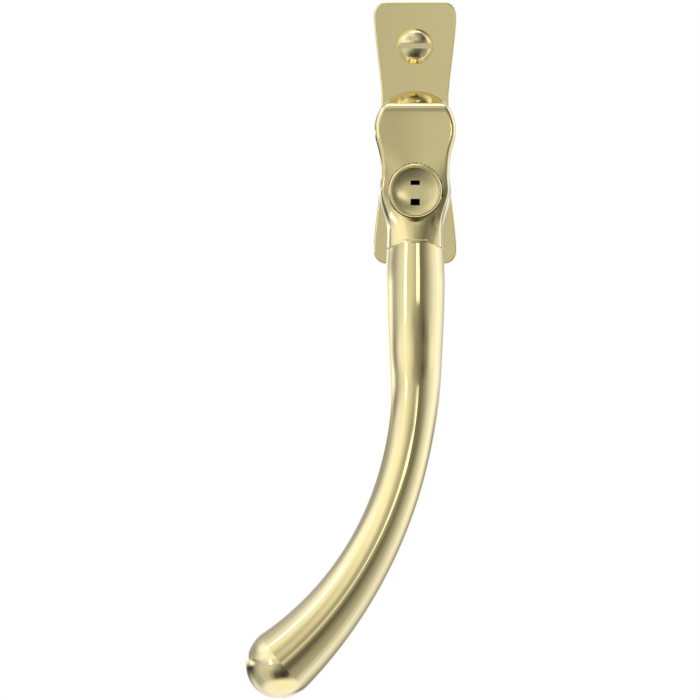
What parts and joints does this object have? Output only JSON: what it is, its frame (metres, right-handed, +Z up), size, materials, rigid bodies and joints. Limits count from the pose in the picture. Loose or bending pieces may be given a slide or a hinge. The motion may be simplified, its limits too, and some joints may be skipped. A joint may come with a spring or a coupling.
{
  "type": "locking window handle",
  "caption": "Swept brass window handle on a waisted base plate, with a push button key lock and a square spindle; the lever turns a quarter turn to open the window.",
  "frame": {"origin": "where the spindle axis meets the back face of the base plate", "axes": "+Z up along the base plate, +Y into the window frame along the spindle, +X to the right seen from the front"},
  "size_m": [0.0521, 0.0643, 0.1716],
  "materials": {
    "polished_brass": "polished and lacquered",
    "brass_button": "polished",
    "brass_screw": "polished",
    "zinc_steel": "bright zinc plated",
    "spring_steel": "hard drawn wire and strip",
    "black_steel": "black oxide",
    "black_nylon": "moulded",
    "white_nylon": "moulded"
  },
  "bodies": {
    "base": {"base_plate": "polished_brass", "retaining_plate": "zinc_steel", "upper_fixing_screw": "brass_screw", "lower_fixing_screw": "brass_screw", "hub_bush": "black_nylon", "thrust_washer": "white_nylon", "upper_index_spring": "spring_steel", "lower_index_spring": "spring_steel"},
    "lever": {"handle_lever": "polished_brass", "spindle": "zinc_steel", "spindle_grub_screw": "black_steel", "index_cam": "zinc_steel", "disc_spring": "spring_steel", "retaining_circlip": "black_steel", "button_stop_screw": "black_steel"},
    "button": {"lock_button": "brass_button", "lock_bolt": "zinc_steel", "lock_return_spring": "spring_steel"},
    "plug": {"lock_plug": "brass_button", "latch_spring": "spring_steel"},
    "latch": {"latch_pin": "zinc_steel"}
  },
  "joints": [
    {"name": "lever_turn", "type": "hinge", "parent": "base", "child": "lever", "pos_m": [0, 0, 0], "axis": [0, 1, 0], "range_deg": [0, 90], "deforming": ["upper_index_spring", "lower_index_spring"]},
    {"name": "lock_press", "type": "slide", "parent": "lever", "child": "button", "axis": [0, 1, 0], "range_m": [0, 0.003], "stiffness_N_per_m": 400, "springref_m": -0.005, "deforming": ["lock_return_spring"]},
    {"name": "key_turn", "type": "hinge", "parent": "button", "child": "plug", "pos_m": [0, 0, -0.015], "axis": [0, 1, 0], "range_deg": [0, 90]},
    {"name": "latch_slide", "type": "slide", "parent": "plug", "child": "latch", "axis": [0, 0, 1], "range_m": [-0.0025, 0], "deforming": ["latch_spring"]}
  ],
  "couplings": [
    {"joint": "latch_slide", "follows": "key_turn", "m_per_rad": -0.0014961}
  ]
}
